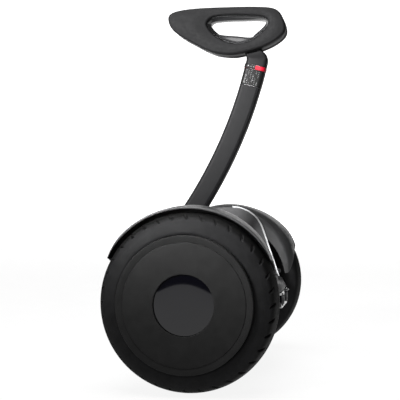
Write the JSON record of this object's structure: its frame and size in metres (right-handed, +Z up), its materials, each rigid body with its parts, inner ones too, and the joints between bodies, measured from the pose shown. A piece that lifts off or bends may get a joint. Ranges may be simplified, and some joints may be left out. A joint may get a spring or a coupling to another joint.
{
  "type": "self-balancing scooter",
  "caption": "Self-balancing scooter with hub-motor wheels, foot mats, a curved steering stem and a padded loop head for the rider's knees.",
  "frame": {"origin": "on the ground below the middle of the axle line", "axes": "+X to the vehicle's right, +Y forward, +Z up"},
  "size_m": [0.548, 0.267, 0.6101],
  "materials": {
    "tyre": "matt black rubber",
    "satin_black": "satin black moulded plastic",
    "gloss_black": "gloss black",
    "dark_plastic": "dark grey plastic",
    "stem_paint": "dark satin coat on aluminium",
    "soft_pad": "soft dark grey skin over foam",
    "liner": "grey gloss moulding",
    "rubber": "black rubber",
    "aluminium": "cast and turned aluminium",
    "steel": "machined steel",
    "red": "red plastic",
    "light_white": "white diffuser",
    "battery": "blue wrapped cell pack",
    "board": "green circuit board"
  },
  "bodies": {
    "chassis": {"battery_pack": "battery", "body_shell": "satin_black", "bottom_cover": "dark_plastic", "button_bezel": "steel", "charge_port": "dark_plastic", "chassis_frame": "aluminium", "control_board": "board", "flap_pin": "steel", "front_lamp": "light_white", "left_axle": "steel", "left_axle_clamp": "steel", "left_fender": "satin_black", "left_foot_mat": "rubber", "left_foot_sensor": "board", "left_light_strip": "light_white", "left_motor_stator": "steel", "left_side_panel": "dark_plastic", "pivot_pin": "steel", "rear_panel": "gloss_black", "right_axle": "steel", "right_axle_clamp": "steel", "right_fender": "satin_black", "right_foot_mat": "rubber", "right_foot_sensor": "board", "right_light_strip": "light_white", "right_motor_stator": "steel", "right_side_panel": "dark_plastic"},
    "left_wheel": {"left_tyre": "tyre", "left_wheel_rim": "aluminium", "left_hub_cover": "satin_black", "left_hub_cap": "gloss_black", "left_magnet_ring": "steel", "left_motor_cover": "aluminium", "left_inner_bearing": "steel", "left_outer_bearing": "steel", "left_tyre_valve": "rubber"},
    "right_wheel": {"right_tyre": "tyre", "right_wheel_rim": "aluminium", "right_hub_cover": "satin_black", "right_hub_cap": "gloss_black", "right_magnet_ring": "steel", "right_motor_cover": "aluminium", "right_inner_bearing": "steel", "right_outer_bearing": "steel", "right_tyre_valve": "rubber"},
    "steering_bar": {"stem_socket": "stem_paint", "rear_bush": "steel", "front_bush": "steel", "return_spring": "rubber", "stem_tube": "stem_paint", "scale_sleeve": "gloss_black", "lock_ring": "red", "set_screw": "steel"},
    "head": {"inner_tube": "aluminium", "head_core": "dark_plastic", "hole_liner": "liner", "left_knee_pad": "soft_pad", "right_knee_pad": "soft_pad"},
    "button": {"power_button": "gloss_black"},
    "flap": {"port_flap": "rubber"}
  },
  "joints": [
    {"name": "left_wheel_spin", "type": "hinge", "parent": "chassis", "child": "left_wheel", "pos_m": [-0.223, 0, 0.1335], "axis": [1, 0, 0], "continuous": true},
    {"name": "right_wheel_spin", "type": "hinge", "parent": "chassis", "child": "right_wheel", "pos_m": [0.223, 0, 0.1335], "axis": [1, 0, 0], "continuous": true},
    {"name": "bar_lean", "type": "hinge", "parent": "chassis", "child": "steering_bar", "pos_m": [0, 0.084, 0.166], "axis": [0, 1, 0], "range_deg": [-9, 9], "stiffness_Nm_per_rad": 40},
    {"name": "head_height", "type": "hinge", "parent": "steering_bar", "child": "head", "pos_m": [0, 0.679, 0.697], "axis": [-1, 0, 0], "range_deg": [0, 4.4]},
    {"name": "button_press", "type": "slide", "parent": "chassis", "child": "button", "axis": [0, 1, 0], "range_m": [0, 0.0012], "stiffness_N_per_m": 800},
    {"name": "flap_swing", "type": "hinge", "parent": "chassis", "child": "flap", "pos_m": [0.03, -0.1238, 0.1311], "axis": [-1, 0, 0], "range_deg": [0, 110]}
  ]
}
